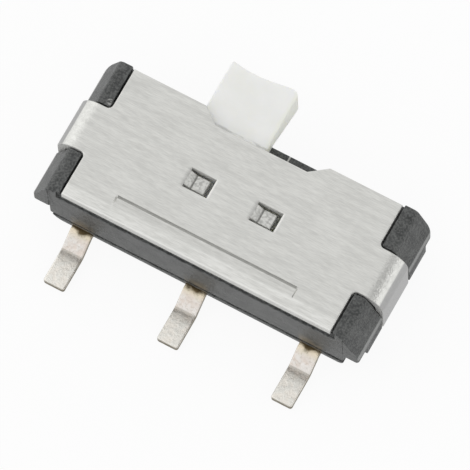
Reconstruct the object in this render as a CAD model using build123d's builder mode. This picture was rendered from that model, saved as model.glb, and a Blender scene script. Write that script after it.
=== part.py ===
"""Side-actuated slide switch for a circuit board: one pole, two positions.

X runs along the switch, the terminals leave it towards -Y, the knob towards +Y, and Z is up from the board.
The origin lies on the board, under the middle of the base. The slider is drawn in its left position.
"""
import os
from build123d import *

os.makedirs("parts", exist_ok=True)

# Overall sizes, in millimetres
overall_height = 1.8
base_length = 7.12
base_width = 2.97
terminal_pitch = 2.5
travel = 1.32
cut_overrun = 0.5

# Cover, stamped from sheet
sheet = 0.18
plate_length = 5.86
plate_width = 2.9
tab_width = 1.02
tab_span = 7.13
tab_bend = 0.45
lip_length = 0.36
lip_bend = 0.23
notch_corner = 0.1
mouth_width = 2.71
mouth_floor = 2.0
mouth_depth = 0.27
tongue_pitch = 1.456
tongue_length = 0.49
tongue_width = 0.32
tongue_drop = 0.11
tongue_slit = 0.045
tongue_end_slit = 0.1
tongue_ramp_share = 0.35
bead_length = 3.96
bead_width = 0.24
bead_setback = 0.375
bead_depth = 0.05
bead_back_flank = 0.03
bead_front_flank = 0.12

# Base, one moulding
post_gap = 0.06
tab_gap = 0.05
tab_clearance = 0.02
post_drop = 0.02
post_flat = 6.48
post_round = 0.15
slope_drop = 0.71
skirt_height = 0.59
standoff = 0.29
end_standoff = 0.55
ear_projection = 0.02
ear_start = 6.43
end_inset = 0.01
front_relief = 0.345
back_relief = 0.27
skirt_round = 0.2
corner_round = 0.06
front_reveal = 0.09
front_reveal_depth = 0.06
plinth_length = 6.2
plinth_front = 0.45
plinth_back = 0.2
front_wall = 0.38
back_wall = 0.32
ledge_front = 0.34
ledge_back = 0.34
ledge_height = 0.7
sill_height = 1.2

# Terminals, stamped from strip
strip = 0.15
strip_width = 0.455
seat_level = 0.25
lead_reach = 1.19
lead_run = 0.38
lead_stub = 0.04
lead_bend = 0.09
pad_width = 0.4
pad_edge = 0.9
centre_pad_length = 1.3

# Slider and the contact that it carries
running_gap = 0.03
knob_width = 1.46
knob_reach = 1.09
knob_height = 0.7
knob_tip = 0.12
knob_hollow = 0.05
knob_hollow_share = 0.72
knob_bulge = 0.03
knob_left_corner = 0.05
knob_right_corner = 0.14
knob_edge = 0.04
carriage_length = 3.4
groove_gap = 0.06
detent_gap = 0.04
detent_depth = 0.06
detent_width = 0.4
spring = 0.08
spring_width = 0.5
spring_seat = 0.6
spring_rise = 0.16
wiper_pitch = 1.0
wiper_gap = 0.02
wiper_bend = 0.12
wiper_curl = 0.22
spring_bend = 0.1

# Levels and places that several pieces share
rim_level = overall_height - sheet
floor_level = seat_level + strip
front_face = -base_width / 2
back_face = base_width / 2
tab_face = tab_span / 2
tab_inner = tab_face - sheet
lip_level = end_standoff - tab_clearance - sheet
slider_centre = -travel / 2
carriage_top = rim_level - running_gap
carriage_bottom = ledge_height + running_gap
cavity_front = front_face + front_wall
cavity_back = back_face - back_wall
cavity_length = carriage_length + travel + 2 * running_gap
mouth_stop = knob_width + travel + 2 * running_gap
tongue_places = (-tongue_pitch / 2, tongue_pitch / 2)
tongue_underside = rim_level - tongue_drop


def parallel(points, gap):
    """Corners of a bent line after it is moved sideways by gap, positive to its left."""
    spots = [Vector(*point) for point in points]
    runs = [(end - start).normalized() for start, end in zip(spots, spots[1:])]
    sides = [Vector(-run.Y, run.X) for run in runs]
    corners = [spots[0] + sides[0] * gap]
    for spot, before, after in zip(spots[1:], sides, sides[1:]):
        mitre = before + after
        corners.append(spot + mitre * (2 * gap / mitre.length**2))
    return corners + [spots[-1] + sides[-1] * gap]


def bent_strip(points, radii, thickness):
    """Closed outline of a bent strip: the given side with its bends, and the side parallel to it."""
    spots = [Vector(*point) for point in points]
    far_radii = []
    for start, spot, end, radius in zip(spots, spots[1:], spots[2:], radii):
        turn = (spot - start).cross(end - spot).Z
        far_radii.append(radius - thickness if turn > 0 else radius + thickness)
    near = FilletPolyline(*spots, radius=radii)
    far = FilletPolyline(*parallel(points, thickness), radius=far_radii)
    Line(near @ 0, far @ 0)
    Line(near @ 1, far @ 1)


# Terminals: a flat foot on the board, a slope up to the wall, and a contact pad in the floor of the base
terminal_places = {"terminal_left": -terminal_pitch, "terminal_centre": 0, "terminal_right": terminal_pitch}
left_pad_length = terminal_pitch + strip_width / 2 - pad_edge
pad_spans = {
    "terminal_left": (left_pad_length, -pad_edge - left_pad_length / 2),
    "terminal_centre": (centre_pad_length, 0),
    "terminal_right": (left_pad_length, pad_edge + left_pad_length / 2),
}
lead_tip = front_face - lead_reach
lead_knee = front_face - lead_stub
lead_heel = lead_knee - lead_run
terminals = {}
for name, place in terminal_places.items():
    pad_length, pad_place = pad_spans[name]
    with BuildPart() as terminal:
        with BuildSketch(Plane.YZ.offset(place)):
            with BuildLine():
                underside = (
                    (lead_tip, 0),
                    (lead_heel, 0),
                    (lead_knee, seat_level),
                    (cavity_front, seat_level),
                )
                bent_strip(underside, (lead_bend + strip, lead_bend), strip)
            make_face()
        extrude(amount=strip_width / 2, both=True)
        with BuildSketch(Plane.XY.offset(seat_level)):
            with Locations((place, (cavity_front + pad_width / 2) / 2)):
                Rectangle(strip_width, pad_width / 2 - cavity_front)
            with Locations((pad_place, 0)):
                Rectangle(pad_length, pad_width)
        extrude(amount=strip)
    terminal.part.label = name
    export_step(terminal.part, f"parts/{name}.step")
    terminals[name] = terminal.part


# Base: a head with sloping ends over a shorter skirt, hollowed for the slider
slope_level = overall_height - slope_drop
shoulder = standoff + skirt_height
post_level = overall_height - post_drop
skirt_length = base_length - 2 * end_inset
slot_width = tab_width + 2 * tab_gap
seat_face = tab_inner - tab_clearance
with BuildPart() as base:
    with BuildSketch(Plane.XZ.offset(ear_projection - front_face)) as head_profile:
        with BuildLine():
            Polyline(
                (-base_length / 2, shoulder),
                (-base_length / 2, slope_level),
                (-post_flat / 2, post_level),
                (post_flat / 2, post_level),
                (base_length / 2, slope_level),
                (base_length / 2, shoulder),
                close=True,
            )
        make_face()
        fillet(head_profile.vertices().group_by(Axis.Y)[-1], post_round)
    extrude(amount=-base_width - ear_projection)
    fillet(base.edges().filter_by(Axis.Z), corner_round)

    # Ears: at both ends the head stands a little in front of the wall
    with BuildSketch(Plane.XY.offset(shoulder)):
        with Locations((0, front_face - cut_overrun / 2)):
            Rectangle(ear_start, cut_overrun)
    extrude(amount=overall_height, mode=Mode.SUBTRACT)

    # Skirt: cut away at the lower corners, more at the front than at the back
    with BuildSketch(Plane.XY.offset(standoff)):
        with BuildLine():
            Polyline(
                (0, front_face),
                (ear_start / 2, front_face),
                (ear_start / 2, front_face + front_relief),
                (skirt_length / 2, front_face + front_relief),
                (skirt_length / 2, back_face - back_relief),
                (skirt_length / 2 - back_relief, back_face),
                (0, back_face),
                close=True,
            )
        make_face()
        mirror(about=Plane.YZ)
    extrude(amount=shoulder - standoff)
    skirt_corners = base.edges().filter_by(Axis.Y).filter_by_position(Axis.Z, standoff, standoff)
    fillet(skirt_corners.filter_by_position(Axis.Y, front_face, front_face + front_relief), skirt_round)

    # Ends of the skirt, raised behind its front corners so that the tabs fold under them
    with BuildSketch(Plane.XY.offset(standoff)):
        for side in (-1, 1):
            end_reach = skirt_length / 2 + cut_overrun
            with Locations((side * (plinth_length / 2 + end_reach) / 2, (front_relief + cut_overrun) / 2)):
                Rectangle(end_reach - plinth_length / 2, base_width - front_relief + cut_overrun)
    extrude(amount=end_standoff - standoff, mode=Mode.SUBTRACT)

    # Plinth that stands on the board, behind the bends of the terminals
    with BuildSketch():
        with Locations((0, (plinth_front - plinth_back) / 2)):
            Rectangle(plinth_length, base_width - plinth_front - plinth_back)
    extrude(amount=standoff)

    # Seat of the cover's plate, between the four posts
    with BuildSketch(Plane.XY.offset(rim_level)):
        Rectangle(plate_length + 2 * post_gap, base_width + 2 * cut_overrun)
    extrude(amount=sheet, mode=Mode.SUBTRACT)

    # Slots for the end tabs, which fold under the skirt
    with BuildSketch(Plane.XZ):
        with BuildLine():
            seat = FilletPolyline(
                (0, rim_level),
                (seat_face, rim_level),
                (seat_face, standoff - cut_overrun),
                radius=tab_bend - sheet,
            )
            Polyline(
                seat @ 1,
                (tab_face + cut_overrun, standoff - cut_overrun),
                (tab_face + cut_overrun, overall_height + cut_overrun),
                (0, overall_height + cut_overrun),
                seat @ 0,
            )
        make_face()
        mirror(about=Plane.YZ)
    extrude(amount=slot_width / 2, both=True, mode=Mode.SUBTRACT)

    # Shadow line along the front, under the edge of the cover
    with BuildSketch(Plane.XY.offset(rim_level)):
        with Locations((0, front_face)):
            Rectangle(ear_start, 2 * front_reveal_depth)
    extrude(amount=-front_reveal, mode=Mode.SUBTRACT)

    # Cavity: a wide upper part for the slider and a narrow lower part for its contact
    with BuildSketch(Plane.XY.offset(ledge_height)):
        with Locations((0, (cavity_front + cavity_back) / 2)):
            Rectangle(cavity_length, cavity_back - cavity_front)
    extrude(amount=overall_height, mode=Mode.SUBTRACT)
    with BuildSketch(Plane.XY.offset(floor_level)):
        with Locations((0, (cavity_front + ledge_front + cavity_back - ledge_back) / 2)):
            Rectangle(cavity_length, cavity_back - ledge_back - cavity_front - ledge_front)
    extrude(amount=ledge_height - floor_level, mode=Mode.SUBTRACT)

    # Mouth in the back wall, where the knob comes out over the sill
    with BuildSketch(Plane.XY.offset(sill_height)):
        with Locations((0, back_face)):
            Rectangle(mouth_stop, 2 * (back_wall + cut_overrun))
    extrude(amount=overall_height, mode=Mode.SUBTRACT)

    for terminal_part in terminals.values():
        add(terminal_part, mode=Mode.SUBTRACT)
base.part.label = "base"
export_step(base.part, "parts/base.step")


# Cover: a plate with two end tabs, all one folded sheet
with BuildPart() as cover:
    with BuildSketch(Plane.XZ):
        with BuildLine():
            skin = (
                (tab_face - lip_length, lip_level),
                (tab_face, lip_level),
                (tab_face, overall_height),
                (-tab_face, overall_height),
                (-tab_face, lip_level),
                (-tab_face + lip_length, lip_level),
            )
            bent_strip(skin, (lip_bend, tab_bend, tab_bend, lip_bend), sheet)
        make_face()
    extrude(amount=tab_width / 2, both=True)
    with BuildSketch(Plane.XY.offset(rim_level)) as plate:
        Rectangle(plate_length, plate_width)
        Rectangle(tab_span - 2 * tab_bend, tab_width)
        plate_corners = plate.vertices().filter_by_position(Axis.X, -plate_length / 2, plate_length / 2)
        fillet(plate_corners.filter_by_position(Axis.Y, -tab_width / 2, tab_width / 2), notch_corner)
    extrude(amount=sheet)

    # Mouth in the back edge, narrower towards its floor
    with BuildSketch(Plane.XY.offset(rim_level)):
        with BuildLine():
            Polyline(
                (-mouth_width / 2, plate_width / 2),
                (-mouth_floor / 2, plate_width / 2 - mouth_depth),
                (mouth_floor / 2, plate_width / 2 - mouth_depth),
                (mouth_width / 2, plate_width / 2),
                close=True,
            )
        make_face()
    extrude(amount=sheet, mode=Mode.SUBTRACT)

    # Tongues: cut free on three sides and pressed down, they click into the slider
    for place in tongue_places:
        root = place - tongue_length / 2
        knee = root + tongue_length * tongue_ramp_share
        with BuildSketch(Plane.XY.offset(rim_level)):
            with Locations((place + tongue_end_slit / 2, 0)):
                Rectangle(tongue_length + tongue_end_slit, tongue_width + 2 * tongue_slit)
        extrude(amount=sheet, mode=Mode.SUBTRACT)
        with BuildSketch(Plane.XZ):
            with BuildLine():
                Polyline(
                    (root, overall_height),
                    (knee, overall_height - tongue_drop),
                    (place + tongue_length / 2, overall_height - tongue_drop),
                    (place + tongue_length / 2, tongue_underside),
                    (knee, tongue_underside),
                    (root, rim_level),
                    close=True,
                )
            make_face()
        extrude(amount=tongue_width / 2, both=True)

    # Bead: a shallow channel coined into the top along the front edge, steep at its back and gentle at its front
    bead_place = -plate_width / 2 + bead_setback
    bead_front = bead_place - bead_width / 2
    bead_back = bead_place + bead_width / 2
    bead_floor = overall_height - bead_depth
    with BuildSketch(Plane.YZ):
        with BuildLine():
            Polyline(
                (bead_front, overall_height),
                (bead_front + bead_front_flank, bead_floor),
                (bead_back - bead_back_flank, bead_floor),
                (bead_back, overall_height),
                close=True,
            )
        make_face()
    extrude(amount=bead_length / 2, both=True, mode=Mode.SUBTRACT)
cover.part.label = "cover"
export_step(cover.part, "parts/cover.step")


# Slider: a carriage in the base and a knob behind it, one moulding
knob_back = back_face + knob_reach
knob_foot = carriage_top - knob_height
knob_left = slider_centre - knob_width / 2
knob_right = slider_centre + knob_width / 2
hollow_end = knob_left + knob_width * knob_hollow_share
neck_level = sill_height + running_gap
carriage_front = cavity_front + running_gap
carriage_back = cavity_back - running_gap
groove_width = tongue_width + 2 * groove_gap
groove_level = tongue_underside - detent_gap
spring_level = carriage_bottom + spring_rise
with BuildPart() as slider:
    with BuildSketch(Plane.XY.offset(carriage_bottom)):
        with Locations((slider_centre, (carriage_front + carriage_back) / 2)):
            Rectangle(carriage_length, carriage_back - carriage_front)
    extrude(amount=carriage_top - carriage_bottom)

    # Knob in plan: its tip is hollowed for the finger and a little fuller at the right
    with BuildSketch(Plane.XY.offset(knob_foot)) as knob_plan:
        with BuildLine():
            hollow_middle = ((knob_left + hollow_end) / 2, knob_back - knob_hollow)
            hollow = ThreePointArc((knob_left, knob_back), hollow_middle, (hollow_end, knob_back))
            bulge = TangentArc(hollow @ 1, (knob_right, knob_back + knob_bulge), tangent=hollow % 1)
            Polyline(bulge @ 1, (knob_right, carriage_back), (knob_left, carriage_back), hollow @ 0)
        make_face()
        fillet(knob_plan.vertices().group_by(Axis.X)[-1].sort_by(Axis.Y)[-1], knob_right_corner)
        fillet(knob_plan.vertices().group_by(Axis.X)[0].sort_by(Axis.Y)[-1], knob_left_corner)
    extrude(amount=knob_height)

    # Below, the knob is cut away to a neck over the sill, which thickens towards the tip
    with BuildSketch(Plane.YZ.offset(slider_centre)):
        with BuildLine():
            Polyline(
                (carriage_back, knob_foot),
                (carriage_back, neck_level),
                (back_face + running_gap, neck_level),
                (knob_back - knob_tip, knob_foot),
                close=True,
            )
        make_face()
    extrude(amount=knob_width / 2, both=True, mode=Mode.SUBTRACT)
    top_edges = slider.faces().sort_by(Axis.Z)[-1].edges()
    fillet(top_edges.filter_by(lambda edge: edge.center().Y > back_face), knob_edge)

    # Groove for the tongues, with a cross notch at each place where they rest
    with BuildSketch(Plane.XY.offset(groove_level)):
        with Locations((slider_centre, 0)):
            Rectangle(carriage_length, groove_width)
    extrude(amount=carriage_top - groove_level, mode=Mode.SUBTRACT)
    notch_place = (tongue_pitch + travel) / 2
    with BuildSketch(Plane.XY.offset(groove_level)):
        for place in (-notch_place, notch_place):
            with Locations((slider_centre + place, 0)):
                Rectangle(detent_width, groove_width)
        with Locations((slider_centre, 0)):
            Rectangle(detent_width + tongue_pitch - travel, groove_width)
    extrude(amount=-detent_depth, mode=Mode.SUBTRACT)

    # Pocket that holds the middle of the contact spring
    with BuildSketch(Plane.XY.offset(carriage_bottom)):
        with Locations((slider_centre, 0)):
            Rectangle(spring_seat, spring_width)
    extrude(amount=spring_rise, mode=Mode.SUBTRACT)
slider.part.label = "slider"
export_step(slider.part, "parts/slider.step")


# Moving contact: a bent spring strip whose two wipers bridge neighbouring pads
wiper_level = floor_level + wiper_gap
wiper_end = wiper_pitch / 2 + wiper_curl
with BuildPart() as moving_contact:
    with BuildSketch(Plane.XZ):
        with BuildLine():
            underside = (
                (slider_centre - wiper_end, wiper_level + wiper_curl),
                (slider_centre - wiper_pitch / 2, wiper_level),
                (slider_centre - spring_seat / 2 + spring, spring_level - spring),
                (slider_centre + spring_seat / 2 - spring, spring_level - spring),
                (slider_centre + wiper_pitch / 2, wiper_level),
                (slider_centre + wiper_end, wiper_level + wiper_curl),
            )
            bent_strip(underside, (wiper_bend, spring_bend, spring_bend, wiper_bend), spring)
        make_face()
    extrude(amount=spring_width / 2, both=True)
moving_contact.part.label = "moving_contact"
export_step(moving_contact.part, "parts/moving_contact.step")
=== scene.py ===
"""Looks of a side-actuated slide switch, built piece by piece in the order of its assembly.

X runs along the switch, the terminals leave it towards -Y, the knob towards +Y, and Z is up from the board.
Pieces are drawn in millimetres, where the mesh tools work best, and scaled to metres when they are finished.
"""
import math

import bmesh
import bpy
from mathutils import Matrix, Vector


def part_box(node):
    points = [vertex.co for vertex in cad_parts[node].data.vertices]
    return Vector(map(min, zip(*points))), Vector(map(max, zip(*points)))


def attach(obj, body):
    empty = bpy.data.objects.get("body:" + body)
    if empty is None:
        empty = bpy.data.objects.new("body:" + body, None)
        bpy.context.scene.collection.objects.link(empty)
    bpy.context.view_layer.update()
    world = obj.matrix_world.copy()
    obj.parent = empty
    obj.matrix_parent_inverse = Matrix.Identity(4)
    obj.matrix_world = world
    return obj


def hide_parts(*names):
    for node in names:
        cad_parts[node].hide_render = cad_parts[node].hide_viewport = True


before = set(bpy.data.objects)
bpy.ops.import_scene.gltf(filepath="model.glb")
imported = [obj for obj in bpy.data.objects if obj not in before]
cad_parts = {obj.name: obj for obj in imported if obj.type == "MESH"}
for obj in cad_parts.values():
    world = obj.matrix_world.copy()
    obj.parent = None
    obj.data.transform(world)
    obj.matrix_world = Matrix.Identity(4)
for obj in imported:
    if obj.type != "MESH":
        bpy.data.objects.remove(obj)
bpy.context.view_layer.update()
mm = 0.001


# Base: one moulding in dark grey glass-filled nylon. A head with sloping ends and four corner posts stands on
# a shorter skirt, with a reveal under the cover's front edge and a parting groove in the front wall. It is
# hollowed for the slider, with a mouth in the back wall and a slot at each end for the cover's tab.
base_low, base_high = (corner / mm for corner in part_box("base"))
cover_low, cover_high = (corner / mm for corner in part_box("cover"))
half_length = base_high.x
switch_top = cover_high.z
sheet = 0.18
rim_level = switch_top - sheet
post_flat = 6.48
post_round = 0.15
slope_drop = 0.71
slope_level = switch_top - slope_drop
standoff = 0.29
end_standoff = 0.55
skirt_height = 0.59
shoulder = standoff + skirt_height
ear_start = 6.43
ear_step = 0.02
front_face = base_low.y + ear_step
corner_round = 0.06
back_corner_round = 0.12
left_skirt_round = 0.3
right_skirt_round = 0.14
front_relief = 0.345
back_relief = 0.27
plinth_length = 6.2
plinth_front_inset = 0.45
plinth_back_inset = 0.2
plinth_front = front_face + plinth_front_inset
plinth_back = base_high.y - plinth_back_inset
seat_length = 5.95
slot_width = 1.09
tab_gap = 0.02
slot_face = cover_high.x - sheet - tab_gap
slot_round = 0.27
reveal_margin = 0.06
reveal_length = seat_length + 2 * reveal_margin
reveal_height = 0.09
reveal_depth = 0.06
parting_rise = 0.15
parting_height = standoff + parting_rise
parting_groove = 0.08
groove_top = parting_height + parting_groove
groove_back = front_face + parting_groove
cavity_length = 4.78
front_wall = 0.38
back_wall = 0.32
cavity_front = front_face + front_wall
cavity_back = base_high.y - back_wall
ledge = 0.34
ledge_height = 0.7
floor_level = 0.4
sill_height = 1.2
mouth_length = 2.84
overrun = 0.5
moulded_edge = 0.018
terminal_pitch = 2.5
sill_line_along = 0.46
sill_line_front = 1.2
pale_spot_place = (-3.016, 0.639)
reflection_low, reflection_top = 0.55, 1.0

nylon_dark = (0.022, 0.024, 0.024, 1)
nylon_pale = (0.128, 0.132, 0.128, 1)
worn_grey = (0.19, 0.195, 0.195, 1)
end_highlight_grey = (0.36, 0.365, 0.36, 1)
skirt_end_shade = (0.016, 0.017, 0.018, 1)
groove_shade = (0.006, 0.007, 0.007, 1)
lead_reflection_brown = (0.20, 0.16, 0.105, 1)
sill_line_grey = (0.55, 0.55, 0.53, 1)
pale_spot_grey = (0.5, 0.5, 0.48, 1)

weld = 0.0005
flat_angle = math.radians(0.5)
sharp_angle = math.radians(30)
rounded_angle = math.radians(32)
rounding_steps = 3
flat_weight = 80


def rounded(corners, steps=10):
    """Points of a closed outline whose corners, each (x, y) or (x, y, radius), are rounded."""
    outline = []
    for before, corner, after in zip(corners[-1:] + corners[:-1], corners, corners[1:] + corners[:1]):
        spot = Vector(corner[:2])
        if len(corner) == 2:
            outline.append(spot)
            continue
        to_before = (Vector(before[:2]) - spot).normalized()
        to_after = (Vector(after[:2]) - spot).normalized()
        half_angle = to_before.angle(to_after) / 2
        centre = spot + (to_before + to_after).normalized() * corner[2] / math.sin(half_angle)
        reach = corner[2] / math.tan(half_angle)
        start = spot + to_before * reach - centre
        end = spot + to_after * reach - centre
        outline += [centre + start.slerp(end, step / steps) * corner[2] for step in range(steps + 1)]
    return outline


def drawn_object(name, mesh):
    """Object of a bmesh, linked to the scene while it is worked on."""
    data = bpy.data.meshes.new(name)
    bmesh.ops.recalc_face_normals(mesh, faces=mesh.faces)
    mesh.to_mesh(data)
    mesh.free()
    drawn = bpy.data.objects.new(name, data)
    bpy.context.scene.collection.objects.link(drawn)
    return drawn


def prism(outline, low, high, axis="Z"):
    """Closed solid: an outline drawn out from low to high along an axis."""
    turns = {
        "X": lambda u, v, h: (h, u, v),
        "Y": lambda u, v, h: (u, h, v),
        "Z": lambda u, v, h: (u, v, h),
    }
    mesh = bmesh.new()
    bottom, top = ([mesh.verts.new(turns[axis](u, v, h)) for u, v in outline] for h in (low, high))
    mesh.faces.new(bottom)
    mesh.faces.new(top)
    for here, there in zip(range(len(outline)), [*range(1, len(outline)), 0]):
        mesh.faces.new((bottom[here], bottom[there], top[there], top[here]))
    return drawn_object("prism", mesh)


def block(low, high):
    """Rectangular solid between two corners."""
    (left, front, bottom), (right, back, top) = low, high
    return prism([(left, front), (right, front), (right, back), (left, back)], bottom, top)


def plain_mesh(drawn):
    """Mesh of an object with its modifiers applied; the object is deleted."""
    depsgraph = bpy.context.evaluated_depsgraph_get()
    mesh = bpy.data.meshes.new_from_object(drawn.evaluated_get(depsgraph))
    bpy.data.objects.remove(drawn)
    return mesh


def combined(solid, **steps):
    """A solid after each step, named by its kind, with the solids that it takes in or cuts away."""
    tools = []
    for operation, solids in steps.items():
        for tool in solids:
            step = solid.modifiers.new(operation, "BOOLEAN")
            step.operation = operation.upper()
            step.solver = "EXACT"
            step.object = tool
            tools.append(tool)
    whole = bmesh.new()
    whole.from_mesh(plain_mesh(solid))
    for tool in tools:
        bpy.data.objects.remove(tool)
    bmesh.ops.remove_doubles(whole, verts=whole.verts, dist=weld)
    bmesh.ops.dissolve_limit(whole, angle_limit=flat_angle, verts=whole.verts, edges=whole.edges)
    return drawn_object("combined", whole)


def finished(name, drawn, material, edge=0):
    """Piece in metres, with rounded edges and shading that keeps its flat faces flat."""
    for face in drawn.data.polygons:
        face.use_smooth = True
        face.material_index = 0
    # The second slot marks the faces that the rounding adds, which are the first to wear.
    drawn.data.materials.clear()
    for _ in range(2):
        drawn.data.materials.append(material)
    if edge:
        rounding = drawn.modifiers.new("edges", "BEVEL")
        rounding.width = edge
        rounding.segments = rounding_steps
        rounding.angle_limit = rounded_angle
        rounding.use_clamp_overlap = False
        rounding.miter_outer = "MITER_ARC"
        rounding.material = 1
    else:
        drawn.data.set_sharp_from_angle(angle=sharp_angle)
    shading = drawn.modifiers.new("shading", "WEIGHTED_NORMAL")
    shading.weight = flat_weight
    shading.keep_sharp = True
    mesh = plain_mesh(drawn)
    mesh.name = name
    mesh.transform(Matrix.Scale(mm, 4))
    worn = mesh.attributes.new("worn", "FLOAT", "FACE")
    worn.data.foreach_set("value", [face.material_index for face in mesh.polygons])
    for face in mesh.polygons:
        face.material_index = 0
    mesh.materials.clear()
    mesh.materials.append(material)
    piece = bpy.data.objects.new(name, mesh)
    bpy.context.scene.collection.objects.link(piece)
    return piece


def mirrored(half):
    """Closed outline of the points with X above zero, in order, and their mirror images."""
    return half + [(-corner[0], *corner[1:]) for corner in reversed(half)]


class Flow:
    """An output of a shader node. Arithmetic on flows adds Math nodes to their tree."""

    def __init__(self, socket):
        self.socket = socket
        self.tree = socket.id_data

    def node(self, kind, settings=None, sockets=None, output=0):
        """Output of a new node in the same tree: its settings are set first, then its sockets."""
        made = self.tree.nodes.new(kind)
        for name, value in (settings or {}).items():
            setattr(made, name, value)
        for name, value in (sockets or {}).items():
            if isinstance(value, Flow):
                self.tree.links.new(value.socket, made.inputs[name])
            else:
                made.inputs[name].default_value = value
        return Flow(made.outputs[output])

    def feed(self, socket):
        """Links this flow to an input."""
        self.tree.links.new(self.socket, socket)

    def maths(self, operation, first, second):
        """Output of a new Math node."""
        return self.node("ShaderNodeMath", {"operation": operation}, {0: first, 1: second})

    def __add__(self, other):
        return self.maths("ADD", self, other)

    __radd__ = __add__

    def __sub__(self, other):
        return self.maths("SUBTRACT", self, other)

    def __rsub__(self, other):
        return self.maths("SUBTRACT", other, self)

    def __mul__(self, other):
        return self.maths("MULTIPLY", self, other)

    __rmul__ = __mul__

    def __neg__(self):
        return 0 - self

    def __abs__(self):
        return self.maths("ABSOLUTE", self, 0)

    def pingpong(self, reach):
        """Rises to reach and falls back to 0, over and over."""
        return self.maths("PINGPONG", self, reach)

    def part(self, axis):
        """One part of a vector."""
        return self.node("ShaderNodeSeparateXYZ", None, {0: self}, "XYZ".index(axis))

    def mark(self, name):
        """Value of a face attribute at this place."""
        return self.node("ShaderNodeAttribute", {"attribute_name": name}, None, "Fac")

    def step(self, low, high):
        """Rises smoothly from 0 at low to 1 at high."""
        sockets = {"Value": self, "From Min": low, "From Max": high}
        return self.node("ShaderNodeMapRange", {"interpolation_type": "SMOOTHSTEP"}, sockets)

    def rise(self, low, high):
        """A step between two places given in millimetres."""
        return self.step(low * mm, high * mm)

    def band(self, low, full, fading, high):
        """A rise from low to full and a fall from fading to high, in millimetres."""
        return self.rise(low, full) * (1 - self.rise(fading, high))

    def inside(self, core, rim):
        """Falls from 1 to 0 as this squared distance grows from core to rim, in square millimetres."""
        return 1 - self.step(core * mm * mm, rim * mm * mm)

    def mix(self, first, second):
        """Colour between two colours, by this flow."""
        sockets = {"Factor": self, 6: first, 7: second}
        return self.node("ShaderNodeMix", {"data_type": "RGBA"}, sockets, 2)

    def paint(self, tone, colour, share):
        """The tone, covered by a share of another colour where this mask is 1."""
        return (self * share).mix(tone, colour)

    def grain(self, size, detail=2.0, stretch=(1, 1, 1)):
        """Noise at this place whose spots have the given size in millimetres, longer where stretched."""
        scales = [1 / (size * mm * longer) for longer in stretch]
        place = self.node("ShaderNodeMapping", None, {"Vector": self, "Scale": scales})
        return place.node("ShaderNodeTexNoise", None, {"Vector": place, "Scale": 1, "Detail": detail})

    def bump(self, depth):
        """Normal of a surface with this relief, of the given depth in millimetres."""
        return self.node("ShaderNodeBump", None, {"Height": self, "Distance": depth * mm, "Strength": 1})


def new_material(name):
    """A material, the inputs of its shader and the place on the surface."""
    material = bpy.data.materials.new(name)
    material.use_nodes = True
    shader = material.node_tree.nodes["Principled BSDF"]
    place = material.node_tree.nodes.new("ShaderNodeTexCoord")
    return material, shader.inputs, Flow(place.outputs["Object"])


head_side = [
    (half_length, shoulder),
    (half_length, slope_level),
    (post_flat / 2, base_high.z, post_round),
]
head_plan = [
    (ear_start / 2, front_face),
    (ear_start / 2, base_low.y),
    (half_length, base_low.y, corner_round),
    (half_length, base_high.y, back_corner_round),
]
skirt_plan = [
    (half_length, front_face + front_relief),
    (half_length, base_high.y - back_relief),
    (half_length - back_relief, base_high.y),
]
lug_side = [
    (-ear_start / 2, standoff, left_skirt_round),
    (ear_start / 2, standoff, right_skirt_round),
    (ear_start / 2, shoulder),
    (-ear_start / 2, shoulder),
]
slot_side = [
    (0, rim_level),
    (slot_face, rim_level, slot_round),
    (slot_face, standoff - overrun),
    (half_length + overrun, standoff - overrun),
    (half_length + overrun, switch_top + overrun),
    (0, switch_top + overrun),
]
slots = [
    prism(rounded([(side * x, *rest) for x, *rest in slot_side]), -slot_width / 2, slot_width / 2, "Y")
    for side in (-1, 1)
]
head = combined(
    prism(rounded(mirrored(head_side)), base_low.y - overrun, base_high.y + overrun, "Y"),
    intersect=[prism(rounded(mirrored(head_plan)), shoulder, switch_top)],
)
reveal_front = front_face + reveal_depth
base_draft = combined(
    head,
    union=[
        prism(rounded(mirrored(skirt_plan)), standoff, shoulder),
        prism(rounded(lug_side), front_face, front_face + front_relief, "Y"),
        block((-plinth_length / 2, plinth_front, 0), (plinth_length / 2, plinth_back, standoff)),
    ],
    difference=[
        block(
            (-seat_length / 2, base_low.y - overrun, rim_level),
            (seat_length / 2, base_high.y + overrun, switch_top + overrun),
        ),
        *slots,
        *(
            block(
                (left, front_face + front_relief, 0),
                (right, base_high.y + overrun, end_standoff),
            )
            for left, right in (
                (plinth_length / 2, half_length + overrun),
                (-half_length - overrun, -plinth_length / 2),
            )
        ),
        block(
            (-reveal_length / 2, base_low.y - overrun, rim_level - reveal_height),
            (reveal_length / 2, reveal_front, switch_top + overrun),
        ),
        block(
            (-ear_start, base_low.y - overrun, parting_height),
            (ear_start, groove_back, groove_top),
        ),
        block(
            (-cavity_length / 2, cavity_front, ledge_height),
            (cavity_length / 2, cavity_back, switch_top + overrun),
        ),
        block(
            (-cavity_length / 2, cavity_front + ledge, floor_level),
            (cavity_length / 2, cavity_back - ledge, switch_top),
        ),
        block(
            (-mouth_length / 2, cavity_back - overrun, sill_height),
            (mouth_length / 2, base_high.y + overrun, switch_top + overrun),
        ),
    ],
)

# The front face runs round the reveal, so it is divided at the reveal's two ends into faces that fill cleanly.
divided = bmesh.new()
divided.from_mesh(base_draft.data)
for side in (-1, 1):
    fronts = [
        face
        for face in divided.faces
        if max(spot.co.y for spot in face.verts) < front_face + weld
        and min(spot.co.z for spot in face.verts) > parting_height
    ]
    corners = {spot for face in fronts for spot in face.verts}
    borders = {border for face in fronts for border in face.edges}
    bmesh.ops.bisect_plane(
        divided,
        geom=[*corners, *borders, *fronts],
        dist=weld,
        plane_co=(side * reveal_length / 2, 0, 0),
        plane_no=(1, 0, 0),
    )
divided.to_mesh(base_draft.data)
divided.free()

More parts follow.
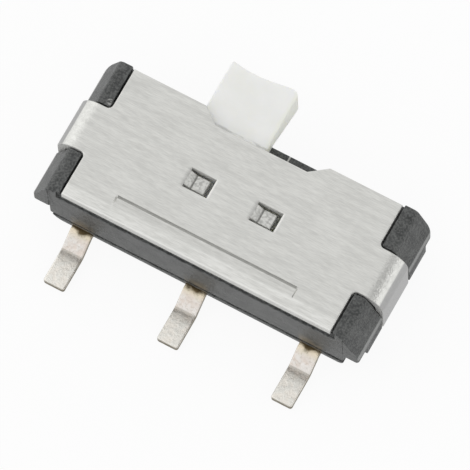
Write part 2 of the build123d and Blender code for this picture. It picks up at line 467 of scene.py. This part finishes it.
nylon, look, place = new_material("glass_filled_nylon")
along, away, height = (place.part(axis) for axis in "XYZ")
speckle = place.grain(size=0.042, detail=4)
blotch = place.grain(size=0.3)
shade = 0.7 * speckle.step(0.36, 0.68) + 0.3 * blotch.step(0.3, 0.7)
tone = shade.mix(nylon_dark, nylon_pale)
worn = place.mark("worn") * place.grain(size=0.12, detail=3).step(0.42, 0.62)
tone = worn.paint(tone, worn_grey, share=0.6)
end_side = abs(along).rise(half_length - 0.03, half_length - 0.015)
# Painted highlight: a pale, blotchy band along the upper part of both end faces, just under the slopes.
end_face_highlight = height.rise(slope_level - 0.16, slope_level - 0.02) * blotch.step(0.1, 0.45)
tone = (end_side * end_face_highlight).paint(tone, end_highlight_grey, share=0.75)
# Painted shade: the end faces of the skirt are darkened, as under the overhang of the head.
on_skirt = 1 - height.rise(shoulder - 0.02, shoulder + 0.01)
tone = (end_side * on_skirt).paint(tone, skirt_end_shade, share=0.85)
# Painted reflection: a brown patch on the front wall at and above each lead, standing in for the lead's image in
# the glossy wall.
for terminal_place in (-terminal_pitch, 0, terminal_pitch):
    offset = along - terminal_place * mm
    lead_reflection = (offset * offset).inside(core=0.04, rim=0.08)
    lead_reflection = lead_reflection * (1 - away.rise(front_face + 0.005, front_face + 0.02))
    lead_reflection = lead_reflection * (1 - height.rise(reflection_low, reflection_top)) * blotch.step(0.25, 0.6)
    tone = lead_reflection.paint(tone, lead_reflection_brown, share=0.75)
# A thin pale line across the top of the sill in the mouth.
sill_line = along.band(sill_line_along - 0.022, sill_line_along - 0.01, sill_line_along + 0.01, sill_line_along + 0.022)
sill_line = sill_line * away.rise(sill_line_front, sill_line_front + 0.02)
sill_line = sill_line * height.rise(sill_height - 0.1, sill_height - 0.05)
tone = sill_line.paint(tone, sill_line_grey, share=0.85)
# A small pale spot at the inner front corner of the left back post.
pale_spot_along, pale_spot_away = along - pale_spot_place[0] * mm, away - pale_spot_place[1] * mm
pale_spot = (pale_spot_along * pale_spot_along + pale_spot_away * pale_spot_away).inside(core=0.002, rim=0.006)
pale_spot = pale_spot * place.grain(size=0.04, detail=3).step(0.4, 0.6)
tone = pale_spot.paint(tone, pale_spot_grey, share=0.8)
# Painted shade: the inside of the parting groove is darkened nearly to black.
in_groove = height.band(parting_height - 0.005, parting_height + 0.01, groove_top - 0.01, groove_top + 0.005)
in_groove = in_groove * (1 - away.rise(groove_back, groove_back + 0.01))
in_groove.paint(tone, groove_shade, share=0.9).feed(look["Base Color"])
(0.38 + 0.2 * speckle.step(0.3, 0.8)).feed(look["Roughness"])
(speckle + 0.6 * place.grain(size=0.1)).bump(depth=0.02).feed(look["Normal"])

base = finished("moulded_base", base_draft, nylon, moulded_edge)
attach(base, "housing")
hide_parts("base")


# Terminals: three strips stamped from brass as one lead frame and plated. Each is bent down to the board
# outside the front wall, passes through the wall, and ends in a flat contact pad in the floor of the base.
strip = 0.15
strip_width = 0.455
seat_level = 0.25
lead_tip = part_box("terminal_centre")[0].y / mm
lead_stub = 0.04
lead_run = 0.38
lead_knee = front_face - lead_stub
lead_heel = lead_knee - lead_run
lead_bend = 0.09
pad_width = 0.4
pad_edge = 0.9
centre_pad = 1.3
tip_round = 0.05
tip_steps = 5
sheared_edge = 0.03
bend_steps = 14
rim_steps = 4

plating_dull = (0.90, 0.815, 0.745, 1)
plating_bright = (1.0, 0.965, 0.925, 1)
speck_brown = (0.46, 0.41, 0.32, 1)
foot_white = (1.0, 1.0, 0.93, 1)
lead_crease_shade_grey = (0.42, 0.395, 0.345, 1)
gilt_yellow = (0.88, 0.74, 0.42, 1)
sheared_brass = (0.15, 0.125, 0.075, 1)
lead_root_shade_brown = (0.10, 0.065, 0.022, 1)


def bend_spans(points, radii):
    """Where each bend of a path begins and ends, measured along the path, and the path's length."""
    spots = [Vector(point) for point in points]
    travelled = 0
    spans = []
    for start, spot, end, radius in zip(spots, spots[1:], spots[2:], radii):
        turn = (spot - start).angle(end - spot)
        straight = (spot - start).length - radius * math.tan(turn / 2)
        straight -= spans[-1][2] if spans else 0
        travelled += straight
        spans.append((travelled, travelled + radius * turn, radius * math.tan(turn / 2)))
        travelled += radius * turn
    return [span[:2] for span in spans], travelled + (spots[-1] - spots[-2]).length - spans[-1][2]


def cut_at(place):
    """A cut square across a blank: a point on it and its direction."""
    return (place, 0, 0), (1, 0, 0)


def bend_cuts(spans, shift=0):
    """Cuts across a blank at each step of its bends, so that it can follow them."""
    return [
        cut_at(start + (end - start) * step / bend_steps - shift)
        for start, end in spans
        for step in range(bend_steps + 1)
    ]


def stamped(outlines, low, high, top_edge, foot_edge, cuts):
    """Flat blank: outlines with their holes, filled between two levels, with rounded edges and cuts across."""
    mesh = bmesh.new()
    for outline in outlines:
        spots = [mesh.verts.new((*spot[:2], low)) for spot in outline]
        for here, there in zip(spots, spots[1:] + spots[:1]):
            mesh.edges.new((here, there))
    bmesh.ops.triangle_fill(mesh, use_beauty=True, edges=mesh.edges)
    raised = bmesh.ops.extrude_face_region(mesh, geom=mesh.faces[:], use_keep_orig=True)["geom"]
    tops = [item for item in raised if isinstance(item, bmesh.types.BMVert)]
    bmesh.ops.translate(mesh, vec=(0, 0, high - low), verts=tops)
    bmesh.ops.recalc_face_normals(mesh, faces=mesh.faces)
    bmesh.ops.dissolve_limit(mesh, angle_limit=flat_angle, verts=mesh.verts, edges=mesh.edges)
    for level, edge in ((high, top_edge), (low, foot_edge)):
        rims = [
            rim
            for rim in mesh.edges
            if rim.calc_face_angle(0) > sharp_angle and all(abs(spot.co.z - level) < weld for spot in rim.verts)
        ]
        bmesh.ops.bevel(mesh, geom=rims, offset=edge, segments=rim_steps, profile=0.5, affect="EDGES")
    for origin, direction in cuts:
        everything = mesh.verts[:] + mesh.edges[:] + mesh.faces[:]
        bmesh.ops.bisect_plane(mesh, geom=everything, plane_co=origin, plane_no=direction)
    blank = drawn_object("blank", mesh)
    sheared = blank.data.attributes.new("sheared", "FLOAT", "FACE")
    sheared.data.foreach_set("value", [1 - abs(face.normal.z) for face in blank.data.polygons])
    return blank


def press_tree():
    """Nodes that lay a flat blank along a path with rounded bends: its X follows the path, its Y runs across."""
    tree = bpy.data.node_groups.new("Press", "GeometryNodeTree")
    sockets = {
        "Blank": "NodeSocketGeometry",
        "Path": "NodeSocketObject",
        "Start": "NodeSocketFloat",
        "Across": "NodeSocketVector",
        "Bend Steps": "NodeSocketInt",
        "Material": "NodeSocketMaterial",
    }
    for name, kind in sockets.items():
        tree.interface.new_socket(name, in_out="INPUT", socket_type=kind)
    tree.interface.new_socket("Folded", in_out="OUTPUT", socket_type="NodeSocketGeometry")
    given = tree.nodes.new("NodeGroupInput").outputs
    path = tree.nodes.new("GeometryNodeObjectInfo")
    fillet = tree.nodes.new("GeometryNodeFilletCurve")
    fillet.mode = "POLY"
    radius = tree.nodes.new("GeometryNodeInputRadius")
    here = tree.nodes.new("GeometryNodeInputPosition")
    parts = tree.nodes.new("ShaderNodeSeparateXYZ")
    along = tree.nodes.new("ShaderNodeMath")
    sample = tree.nodes.new("GeometryNodeSampleCurve")
    sample.mode = "LENGTH"
    upward = tree.nodes.new("ShaderNodeVectorMath")
    upward.operation = "CROSS_PRODUCT"
    upright = tree.nodes.new("ShaderNodeVectorMath")
    upright.operation = "NORMALIZE"
    lift = tree.nodes.new("ShaderNodeVectorMath")
    lift.operation = "SCALE"
    aside = tree.nodes.new("ShaderNodeVectorMath")
    aside.operation = "SCALE"
    risen = tree.nodes.new("ShaderNodeVectorMath")
    spread = tree.nodes.new("ShaderNodeVectorMath")
    moved = tree.nodes.new("GeometryNodeSetPosition")
    realized = tree.nodes.new("GeometryNodeRealizeInstances")
    coated = tree.nodes.new("GeometryNodeSetMaterial")
    result = tree.nodes.new("NodeGroupOutput")
    links = (
        (given["Path"], path.inputs["Object"]),
        (path.outputs["Geometry"], fillet.inputs["Curve"]),
        (given["Bend Steps"], fillet.inputs["Count"]),
        (radius.outputs["Radius"], fillet.inputs["Radius"]),
        (fillet.outputs["Curve"], sample.inputs["Curves"]),
        (here.outputs["Position"], parts.inputs[0]),
        (parts.outputs["X"], along.inputs[0]),
        (given["Start"], along.inputs[1]),
        (along.outputs[0], sample.inputs["Length"]),
        (sample.outputs["Tangent"], upward.inputs[0]),
        (given["Across"], upward.inputs[1]),
        (upward.outputs[0], upright.inputs[0]),
        (upright.outputs[0], lift.inputs[0]),
        (parts.outputs["Z"], lift.inputs["Scale"]),
        (given["Across"], aside.inputs[0]),
        (parts.outputs["Y"], aside.inputs["Scale"]),
        (sample.outputs["Position"], risen.inputs[0]),
        (lift.outputs[0], risen.inputs[1]),
        (risen.outputs[0], spread.inputs[0]),
        (aside.outputs[0], spread.inputs[1]),
        (given["Blank"], moved.inputs["Geometry"]),
        (spread.outputs[0], moved.inputs["Position"]),
        (moved.outputs["Geometry"], realized.inputs["Geometry"]),
        (realized.outputs["Geometry"], coated.inputs["Geometry"]),
        (given["Material"], coated.inputs["Material"]),
        (coated.outputs["Geometry"], result.inputs["Folded"]),
    )
    for output, socket in links:
        tree.links.new(output, socket)
    return tree


press = press_tree()


def folded(blank, points, radii, across, start, material):
    """The blank after it is laid along a path of straight runs and bends."""
    line = bpy.data.curves.new("path", "CURVE")
    line.dimensions = "3D"
    spline = line.splines.new("POLY")
    spline.points.add(len(points) - 1)
    for spot, place, radius in zip(spline.points, points, [0, *radii, 0]):
        spot.co = (*place, 1)
        spot.radius = radius
    path = bpy.data.objects.new("path", line)
    bpy.context.scene.collection.objects.link(path)
    fold = blank.modifiers.new("fold", "NODES")
    fold.node_group = press
    values = {
        "Path": path,
        "Start": float(start),
        "Across": across,
        "Bend Steps": bend_steps,
        "Material": material,
    }
    for socket in press.interface.items_tree:
        if socket.name in values:
            fold[socket.identifier] = values[socket.name]
    folded_blank = bpy.data.objects.new("folded", plain_mesh(blank))
    bpy.context.scene.collection.objects.link(folded_blank)
    bpy.data.objects.remove(path)
    return folded_blank


pad_back = pad_width / 2
lead_path = [(0, pad_back, seat_level), (0, lead_knee, seat_level), (0, lead_heel, 0), (0, lead_tip, 0)]
lead_radii = [lead_bend, lead_bend + strip]
lead_spans, lead_length = bend_spans(lead_path, lead_radii)
outer_pad = terminal_pitch + strip_width / 2
pads = {
    -terminal_pitch: (-outer_pad, -pad_edge),
    0: (-centre_pad / 2, centre_pad / 2),
    terminal_pitch: (pad_edge, outer_pad),
}
lead_outlines = []
for lead_place, (pad_left, pad_right) in pads.items():
    left, right = lead_place - strip_width / 2, lead_place + strip_width / 2
    right_step = [(pad_width, pad_right), (pad_width, right)] if right != pad_right else []
    left_step = [(pad_width, left), (pad_width, pad_left)] if left != pad_left else []
    lead_end = [(lead_length, right, tip_round), (lead_length, left, tip_round)]
    corners = [(0, pad_left), (0, pad_right), *right_step, *lead_end, *left_step]
    lead_outlines.append(rounded(corners, tip_steps))

plating, look, place = new_material("tin_plating")
along, away = place.part("X"), place.part("Y")
mottle = place.grain(size=0.14, detail=4)
fine = place.grain(size=0.05, detail=3)
tone = mottle.step(0.38, 0.62).mix(plating_dull, plating_bright)
tone = fine.step(0.5, 0.72).paint(tone, speck_brown, share=0.28)
foot = 1 - away.rise(lead_heel - 0.2, lead_heel - 0.1)
tone = foot.paint(tone, foot_white, share=0.5)
# Painted shade: a grey band on the foot of each lead, just past its lower bend.
crease_shade = away.band(lead_heel - 0.32, lead_heel - 0.05, lead_heel - 0.035, lead_heel - 0.005)
tone = crease_shade.paint(tone, lead_crease_shade_grey, share=0.65)
gilt = (away + 0.2 * mm * mottle).rise(lead_knee - 0.12, lead_knee + 0.1)
tone = gilt.paint(tone, gilt_yellow, share=0.5)
tone = place.mark("sheared").paint(tone, sheared_brass, share=0.95)
# Painted shade: the leads darken to brown, with a mottled edge, where they go into the front wall.
aside = along.pingpong(terminal_pitch / 2 * mm)
lead_root_shade = (away + 0.25 * mm * mottle - 0.35 * aside).rise(lead_knee, lead_knee + 0.11)
lead_root_shade.paint(tone, lead_root_shade_brown, share=0.95).feed(look["Base Color"])
look["Metallic"].default_value = 1
(0.36 + 0.22 * mottle.step(0.35, 0.7)).feed(look["Roughness"])
(fine + 3 * mottle).bump(depth=0.004).feed(look["Normal"])

lead_blank = stamped(lead_outlines, 0, strip, sheared_edge, sheared_edge, bend_cuts(lead_spans))
lead_frame = folded(lead_blank, lead_path, lead_radii, (1, 0, 0), 0, plating)
terminals = finished("plated_terminals", lead_frame, plating)
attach(terminals, "housing")
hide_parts("terminal_left", "terminal_centre", "terminal_right")


# Contact spring: a narrow strip of phosphor bronze bent into two wipers, which hangs in a pocket under the
# slider and bridges two neighbouring pads.
contact_low, contact_high = (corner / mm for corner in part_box("moving_contact"))
slider_centre = (contact_low.x + contact_high.x) / 2
spring = 0.08
spring_width = contact_high.y - contact_low.y
wiper_pitch = 1.0
wiper_curl = 0.22
wiper_level = contact_low.z
spring_level = 0.81
spring_reach = 0.22
spring_radii = [0.12, 0.1, 0.1, 0.12]
spring_corner = 0.08
spring_edge = 0.01
bronze_dark = (0.62, 0.40, 0.20, 1)
bronze_pale = (0.72, 0.49, 0.27, 1)

spring_half = [
    (-wiper_pitch / 2 - wiper_curl, wiper_level + wiper_curl),
    (-wiper_pitch / 2, wiper_level),
    (-spring_reach, spring_level),
]
spring_path = [(slider_centre + x, 0, z) for x, z in spring_half]
spring_path += [(slider_centre - x, 0, z) for x, z in reversed(spring_half)]
spring_spans, spring_length = bend_spans(spring_path, spring_radii)
spring_outline = rounded(
    [
        (0, -spring_width / 2, spring_corner),
        (spring_length, -spring_width / 2, spring_corner),
        (spring_length, spring_width / 2, spring_corner),
        (0, spring_width / 2, spring_corner),
    ],
    tip_steps,
)

bronze, look, place = new_material("phosphor_bronze")
drawn_lines = place.grain(size=0.02, detail=3, stretch=(20, 1, 1))
drawn_lines.step(0.3, 0.7).mix(bronze_dark, bronze_pale).feed(look["Base Color"])
look["Metallic"].default_value = 1
(0.25 + 0.15 * drawn_lines).feed(look["Roughness"])
drawn_lines.bump(depth=0.002).feed(look["Normal"])

spring_blank = stamped([spring_outline], 0, spring, spring_edge, spring_edge, bend_cuts(spring_spans))
spring_strip = folded(spring_blank, spring_path, spring_radii, (0, 1, 0), 0, bronze)
contact = finished("contact_spring", spring_strip, bronze)
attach(contact, "actuator")
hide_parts("moving_contact")


# Slider: one moulding in white acetal. A carriage runs in the base under the cover, and its knob comes out
# through the mouth at the back, hollowed at the tip for a finger.
slider_low, slider_high = (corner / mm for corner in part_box("slider"))
running_gap = 0.03
carriage_back = cavity_back - running_gap
neck_level = sill_height + running_gap
neck_back = base_high.y + running_gap
knob_width = 1.46
knob_height = 0.7
knob_reach = 1.09
knob_left, knob_right = slider_centre - knob_width / 2, slider_centre + knob_width / 2
knob_foot = slider_high.z - knob_height
tip = base_high.y + knob_reach
knob_tip = 0.12
knob_hollow = 0.05
knob_hollow_share = 0.72
knob_bulge = 0.03
knob_left_corner = 0.04
knob_right_corner = 0.14
knob_edge = 0.035
hollow_steps = 18
bulge_steps = 6
groove_width = 0.44
groove_level = 1.47
tongue_pitch = 1.456
travel = 1.32
detent_width = 0.4
detent_depth = 0.06
detent_level = groove_level - detent_depth
pocket_length = 0.6
pocket_depth = 0.16
pocket_level = slider_low.z + pocket_depth
mouth_depth = 0.27

acetal_dark = (0.90, 0.905, 0.875, 1)
acetal_pale = (0.93, 0.935, 0.915, 1)
glow_yellow = (0.88, 0.89, 0.72, 1)
mouth_shade_grey = (0.42, 0.42, 0.40, 1)

knob_side = [
    (carriage_back - overrun, slider_high.z),
    (carriage_back - overrun, neck_level),
    (neck_back, neck_level),
    (tip - knob_tip, knob_foot),
    (tip + overrun, knob_foot),
    (tip + overrun, slider_high.z),
]
hollow_end = knob_left + knob_width * knob_hollow_share
hollow_length = hollow_end - knob_left
bulge_length = knob_right - hollow_end
bulge_rise = 4 * knob_hollow / hollow_length * bulge_length
# The first steps of the hollow and the last ones of the bulge are left to the rounded corners beside them.
hollow = [
    (knob_left + hollow_length * share, tip - knob_hollow * (1 - (2 * share - 1) ** 2))
    for share in (step / hollow_steps for step in range(2, hollow_steps))
]
bulge = [
    (hollow_end + bulge_length * share, tip + bulge_rise * share + (knob_bulge - bulge_rise) * share**2)
    for share in (step / bulge_steps for step in range(4))
]
knob_plan = [
    (knob_left, carriage_back - overrun),
    (knob_right, carriage_back - overrun),
    (knob_right, tip + knob_bulge, knob_right_corner),
    *reversed(hollow + bulge),
    (knob_left, tip, knob_left_corner),
]
knob = combined(
    prism(knob_side, knob_left - overrun, knob_right + overrun, "X"),
    intersect=[prism(rounded(knob_plan), 0, slider_high.z)],
)
detents = [
    (-(tongue_pitch + travel) / 2, detent_width),
    (0, detent_width + tongue_pitch - travel),
    ((tongue_pitch + travel) / 2, detent_width),
]
slider_draft = combined(
    knob,
    union=[block(slider_low, (slider_high.x, carriage_back, slider_high.z))],
    difference=[
        block(
            (slider_low.x - overrun, -groove_width / 2, groove_level),
            (slider_high.x + overrun, groove_width / 2, switch_top),
        ),
        *(
            block(
                (slider_centre + shift - width / 2, -groove_width / 2, detent_level),
                (slider_centre + shift + width / 2, groove_width / 2, switch_top),
            )
            for shift, width in detents
        ),
        block(
            (slider_centre - pocket_length / 2, -spring_width / 2, 0),
            (slider_centre + pocket_length / 2, spring_width / 2, pocket_level),
        ),
    ],
)

acetal, look, place = new_material("white_acetal")
along, away = place.part("X"), place.part("Y")
tone = place.grain(size=0.5).step(0.3, 0.7).mix(acetal_dark, acetal_pale)
# Painted glow: the right edge of the knob is tinted yellow, standing in for light showing through the thin
# plastic.
edge_glow = along.rise(knob_right - 0.12, knob_right)
tone = edge_glow.paint(tone, glow_yellow, share=0.4)
# Painted shade: a grey band on the knob just behind the edge of the cover's mouth, where the cover shades it.
mouth_edge = cover_high.y - mouth_depth
mouth_edge_shade = away.band(mouth_edge + 0.04, mouth_edge + 0.06, mouth_edge + 0.08, mouth_edge + 0.13)
mouth_edge_shade = mouth_edge_shade * place.grain(size=0.08, detail=3, stretch=(3, 1, 1)).step(0.4, 0.6)
mouth_edge_shade.paint(tone, mouth_shade_grey, share=0.55).feed(look["Base Color"])
(0.38 + 0.12 * place.grain(size=0.06)).feed(look["Roughness"])
place.grain(size=0.05, detail=3).bump(depth=0.002).feed(look["Normal"])
look["Subsurface Weight"].default_value = 0.35
look["Subsurface Radius"].default_value = (1.0, 0.95, 0.75)
look["Subsurface Scale"].default_value = 0.25 * mm

slider = finished("sliding_knob", slider_draft, acetal, knob_edge)
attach(slider, "actuator")
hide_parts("slider")


# Cover: stamped from stainless sheet with a brushed face and folded over the base. Its two end tabs are bent
# down into the slots and under the skirt; two lanced tongues and a coined bead are pressed into the plate.
plate_length = 5.86
plate_width = cover_high.y - cover_low.y
tab_face = cover_high.x
tab_width = 1.02
tab_bend = 0.45
lip_length = 0.36
lip_bend = 0.23
notch_corner = 0.1
mouth_width = 2.71
mouth_floor = 2.0
tongue_length = 0.43
tongue_shift = -0.03
tongue_width = 0.32
tongue_slit = 0.045
tongue_end_slit = 0.1
tongue_drop = 0.11
tongue_ramp = 0.15
ramp_steps = 4
bead_length = 3.96
bead_width = 0.24
bead_inset = 0.375
bead_place = cover_low.y + bead_inset
bead_depth = 0.05
bead_front_flank = 0.12
bead_back_flank = 0.042
bead_end_flank = 0.03
rolled_edge = 0.025
burr_edge = 0.015

steel_dark = (0.625, 0.625, 0.60, 1)
steel_pale = (0.765, 0.765, 0.735, 1)
polished_dark = (0.69, 0.69, 0.66, 1)
polished_pale = (0.88, 0.88, 0.85, 1)
highlight_white = (0.97, 0.97, 0.94, 1)
bend_reflection_grey = (0.38, 0.38, 0.38, 1)
bead_flank_shade = (0.16, 0.16, 0.15, 1)
lanced_grey = (0.30, 0.30, 0.29, 1)
crest_shade = (0.14, 0.14, 0.13, 1)
tongue_root_shade_grey = (0.25, 0.25, 0.24, 1)
cut_edge_and_bounce_grey = (0.66, 0.66, 0.64, 1)

lip_level = cover_low.z
cover_half = [(-tab_face + lip_length, lip_level), (-tab_face, lip_level), (-tab_face, switch_top)]
cover_path = [(x, 0, z) for x, z in cover_half] + [(-x, 0, z) for x, z in reversed(cover_half)]
cover_radii = [lip_bend, tab_bend, tab_bend, lip_bend]
cover_spans, cover_length = bend_spans(cover_path, cover_radii)
plate_outline = rounded(
    [
        (plate_length / 2, -plate_width / 2),
        (plate_length / 2, -tab_width / 2, notch_corner),
        (cover_length / 2, -tab_width / 2),
        (cover_length / 2, tab_width / 2),
        (plate_length / 2, tab_width / 2, notch_corner),
        (plate_length / 2, plate_width / 2),
        (mouth_width / 2, plate_width / 2),
        (mouth_floor / 2, plate_width / 2 - mouth_depth),
        (-mouth_floor / 2, plate_width / 2 - mouth_depth),
        (-mouth_width / 2, plate_width / 2),
        (-plate_length / 2, plate_width / 2),
        (-plate_length / 2, tab_width / 2, notch_corner),
        (-cover_length / 2, tab_width / 2),
        (-cover_length / 2, -tab_width / 2),
        (-plate_length / 2, -tab_width / 2, notch_corner),
        (-plate_length / 2, -plate_width / 2),
    ]
)
tongues = [
    (tongue_place - tongue_length / 2, tongue_place + tongue_length / 2)
    for tongue_place in (tongue_shift - tongue_pitch / 2, tongue_shift + tongue_pitch / 2)
]
half_tongue = tongue_width / 2
half_hole = half_tongue + tongue_slit
slits = [
    [
        (root, half_hole),
        (root, half_tongue),
        (end, half_tongue),
        (end, -half_tongue),
        (root, -half_tongue),
        (root, -half_hole),
        (end + tongue_end_slit, -half_hole),
        (end + tongue_end_slit, half_hole),
    ]
    for root, end in tongues
]
bead_front, bead_back = bead_place - bead_width / 2, bead_place + bead_width / 2
bead_floor = (bead_front + bead_front_flank, bead_back - bead_back_flank)
cover_cuts = bend_cuts(cover_spans, cover_length / 2)
for root, _ in tongues:
    cover_cuts += [cut_at(root + tongue_ramp * step / ramp_steps) for step in range(ramp_steps + 1)]
for across in (bead_front, *bead_floor, bead_back):
    cover_cuts.append(((0, across, 0), (0, 1, 0)))
for inset in (0, bead_end_flank):
    cover_cuts += [cut_at(side * (bead_length / 2 - inset)) for side in (-1, 1)]
cover_blank = stamped([plate_outline, *slits], -sheet, 0, rolled_edge, burr_edge, cover_cuts)
for spot in cover_blank.data.vertices:
    along, across, _ = spot.co
    for root, end in tongues:
        if abs(across) <= half_tongue + tongue_slit / 2 and root < along < end + tongue_slit:
            spot.co.z -= tongue_drop * min(1, (along - root) / tongue_ramp)
    in_floor = min(across - bead_floor[0], bead_floor[1] - across) > -bead_end_flank / 2
    in_length = bead_length / 2 - abs(along) > bead_end_flank / 2
    if spot.co.z > -sheet / 2 and in_floor and in_length:
        spot.co.z -= bead_depth

faces = cover_blank.data.polygons
marks = {"coined": [0.0] * len(faces), "lanced": [0.0] * len(faces)}
for face in faces:
    along, across, level = face.center
    if level <= -sheet / 2 - tongue_drop:
        continue
    end_distance = bead_length / 2 - abs(along)
    on_back_flank = bead_floor[1] < across < bead_back and end_distance > 0
    on_end_flank = bead_front < across < bead_back and 0 < end_distance < bead_end_flank
    if on_back_flank or on_end_flank:
        marks["coined"][face.index] = 1
    if abs(across) < half_tongue and any(root < along < end for root, end in tongues):
        marks["lanced"][face.index] = face.normal.z
for name, values in marks.items():
    cover_blank.data.attributes.new(name, "FLOAT", "FACE").data.foreach_set("value", values)

steel, look, place = new_material("brushed_steel")
along, across = place.part("X"), place.part("Y")
brush = place.grain(size=0.015, detail=3, stretch=(12, 1, 1))
broad = place.grain(size=0.1, stretch=(8, 1, 1))
peel = place.grain(size=0.04, detail=4)
sheared, coined, lanced = (place.mark(name) for name in ("sheared", "coined", "lanced"))
tone = (0.58 * brush + 0.42 * broad).step(0.34, 0.66).mix(steel_dark, steel_pale)
polish = 1 - across.rise(bead_front - 0.02, bead_front + 0.02)
streaks = (0.5 * brush + 0.5 * broad).step(0.36, 0.64).mix(polished_dark, polished_pale)
tone = polish.paint(tone, streaks, share=0.8)
# Painted highlight: a white line along the rolled front edge of the plate.
front_edge_highlight = 1 - across.rise(cover_low.y + 0.02, cover_low.y + 0.05)
tone = front_edge_highlight.paint(tone, highlight_white, share=0.6)
# Painted shade: the outer part of each end bend is darkened, standing in for the darker floor it reflects; its
# roughness is raised too.
drawn = along.rise(tab_face - 0.1, tab_face - 0.07) + (-along).rise(tab_face - 0.145, tab_face - 0.12)
tone = drawn.paint(tone, bend_reflection_grey, share=0.9)
# Painted shade: the back and end flanks of the bead are darkened in blotches.
tone = (coined * broad.step(0.25, 0.6)).paint(tone, bead_flank_shade, share=0.28)
pitted = lanced * place.grain(size=0.06, detail=3).step(0.4, 0.66)
tone = pitted.paint(tone, lanced_grey, share=0.55)
beside = (across * across).inside(core=(half_hole - 0.05) ** 2, rim=(half_hole + 0.03) ** 2)
for root, end in tongues:
    crest = root + tongue_ramp
    # Painted shade: a dark line across each tongue where its ramp meets its flat.
    crease_shade = (along - crest * mm).band(-0.025, -0.008, 0.008, 0.025)
    tone = (crease_shade * lanced).paint(tone, crest_shade, share=0.8)
    # Painted shade: a grey smudge on the plate beside the root of each tongue.
    tongue_root_shade = along.band(root - 0.09, root, root, root + 0.03)
    tone = (tongue_root_shade * beside).paint(tone, tongue_root_shade_grey, share=0.4)
    # Painted highlight: a white line on the plate just past the far end of each slit.
    rim = end + tongue_end_slit
    gleam = along.band(rim, rim + 0.01, rim + 0.025, rim + 0.06)
    tone = (gleam * beside).paint(tone, highlight_white, share=0.6)
# The cut edges have their own mid-grey, less metallic finish, made paler as painted light standing in for light
# from the white slider in the slits.
sheared.paint(tone, cut_edge_and_bounce_grey, share=0.9).feed(look["Base Color"])
(1 - 0.75 * sheared).feed(look["Metallic"])
(0.27 + 0.12 * brush + 0.2 * sheared + 0.08 * drawn + 0.1 * lanced).feed(look["Roughness"])
stretched = along.rise(tab_face - 0.45, tab_face - 0.3) + (-along).rise(tab_face - 0.45, tab_face - 0.3)
relief = brush + broad + peel * (9 * stretched + 6 * lanced)
relief.bump(depth=0.0015).feed(look["Normal"])

folded_cover = folded(cover_blank, cover_path, cover_radii, (0, 1, 0), cover_length / 2, steel)
cover = finished("stamped_cover", folded_cover, steel)
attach(cover, "housing")
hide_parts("cover")


# Floor: a plain pale table top. Seen directly or in the metal it is mostly its own white, and the rest of it
# takes the shadow of the switch.
floor_reach = 0.4
own_share = 0.92
floor_pale = (0.9, 0.9, 0.9, 1)
white = (1, 1, 1, 1)
floor_mesh = bpy.data.meshes.new("floor")
floor_corners = [(-1, -1, 0), (1, -1, 0), (1, 1, 0), (-1, 1, 0)]
floor_mesh.from_pydata(floor_corners, [], [(0, 1, 2, 3)])
floor_mesh.transform(Matrix.Scale(floor_reach, 4))
floor = bpy.data.objects.new("floor", floor_mesh)
bpy.context.scene.collection.objects.link(floor)
paper, look, place = new_material("floor_paper")
look["Base Color"].default_value = floor_pale
look["Roughness"].default_value = 0.9
look["Specular IOR Level"].default_value = 0
rays = paper.node_tree.nodes.new("ShaderNodeLightPath").outputs
seen = Flow(rays["Is Camera Ray"]) + Flow(rays["Is Glossy Ray"]) + Flow(rays["Is Transmission Ray"])
glowing = place.node("ShaderNodeEmission", None, {"Color": white, "Strength": 1})
lit = Flow(paper.node_tree.nodes["Principled BSDF"].outputs[0])
both = place.node("ShaderNodeMixShader", None, {0: seen * own_share, 1: lit, 2: glowing})
both.feed(paper.node_tree.nodes["Material Output"].inputs["Surface"])
floor_mesh.materials.append(paper)


# Light: a soft studio tent, bright at the left and low at the right, a little darker over the right end and
# low at the front, so that the folded ends of the cover show their round bends.
general_glow = 0.86
left_glow = 0.38
low_right_glow = 0.55
high_right_shade = 0.42
low_front_shade = 0.5
tent = bpy.data.worlds.new("tent")
tent.use_nodes = True
bpy.context.scene.world = tent
background = tent.node_tree.nodes["Background"]
around = Flow(tent.node_tree.nodes.new("ShaderNodeTexCoord").outputs["Generated"])
rightward, backward, upward = around.part("X"), around.part("Y"), around.part("Z")
low = 1 - upward.step(0.25, 0.5)
high_right = rightward.step(0.2, 0.45) * upward.step(0.45, 0.65) * (1 - upward.step(0.9, 0.98))
glow = (
    general_glow
    + left_glow * (-rightward).step(0.25, 0.75)
    + low_right_glow * rightward.step(0.5, 0.85) * low
    - high_right_shade * high_right
    - low_front_shade * (-backward).step(0.5, 0.85) * low
)
tent_rays = tent.node_tree.nodes.new("ShaderNodeLightPath").outputs
direct = Flow(tent_rays["Is Camera Ray"])
(glow * (1 - direct) + direct).feed(background.inputs["Strength"])
background.inputs["Color"].default_value = white


# Camera: a long lens that looks down on the switch from its front right, at the angle of the photograph.
# It is rolled a little, and aimed beside the middle of the cover so that the switch stands where it does there.
azimuth, elevation, roll = math.radians(32.590), math.radians(70.433), math.radians(-4)
distance = 150
picture_width = 470
pixels_per_mm = 52.34
sensor_width = 36
aim_right, aim_down = 0.063, 0.683
nearest, farthest = 0.001, 10
back = Vector(
    (
        math.sin(azimuth) * math.cos(elevation),
        -math.cos(azimuth) * math.cos(elevation),
        math.sin(elevation),
    )
)
level = Vector((math.cos(azimuth), math.sin(azimuth), 0))
right = Matrix.Rotation(roll, 3, back) @ level
up = back.cross(right)
aim = Vector((0, 0, switch_top)) + right * aim_right - up * aim_down
lens = bpy.data.cameras.new("camera")
lens.sensor_width = sensor_width
lens.lens = sensor_width * distance * pixels_per_mm / picture_width
lens.clip_start = nearest
lens.clip_end = farthest
camera = bpy.data.objects.new("camera", lens)
turn = Matrix((right, up, back)).transposed().to_4x4()
camera.matrix_world = Matrix.Translation((aim + back * distance) * mm) @ turn
bpy.context.scene.collection.objects.link(camera)
bpy.context.scene.camera = camera
bpy.context.scene.view_settings.view_transform = "Standard"
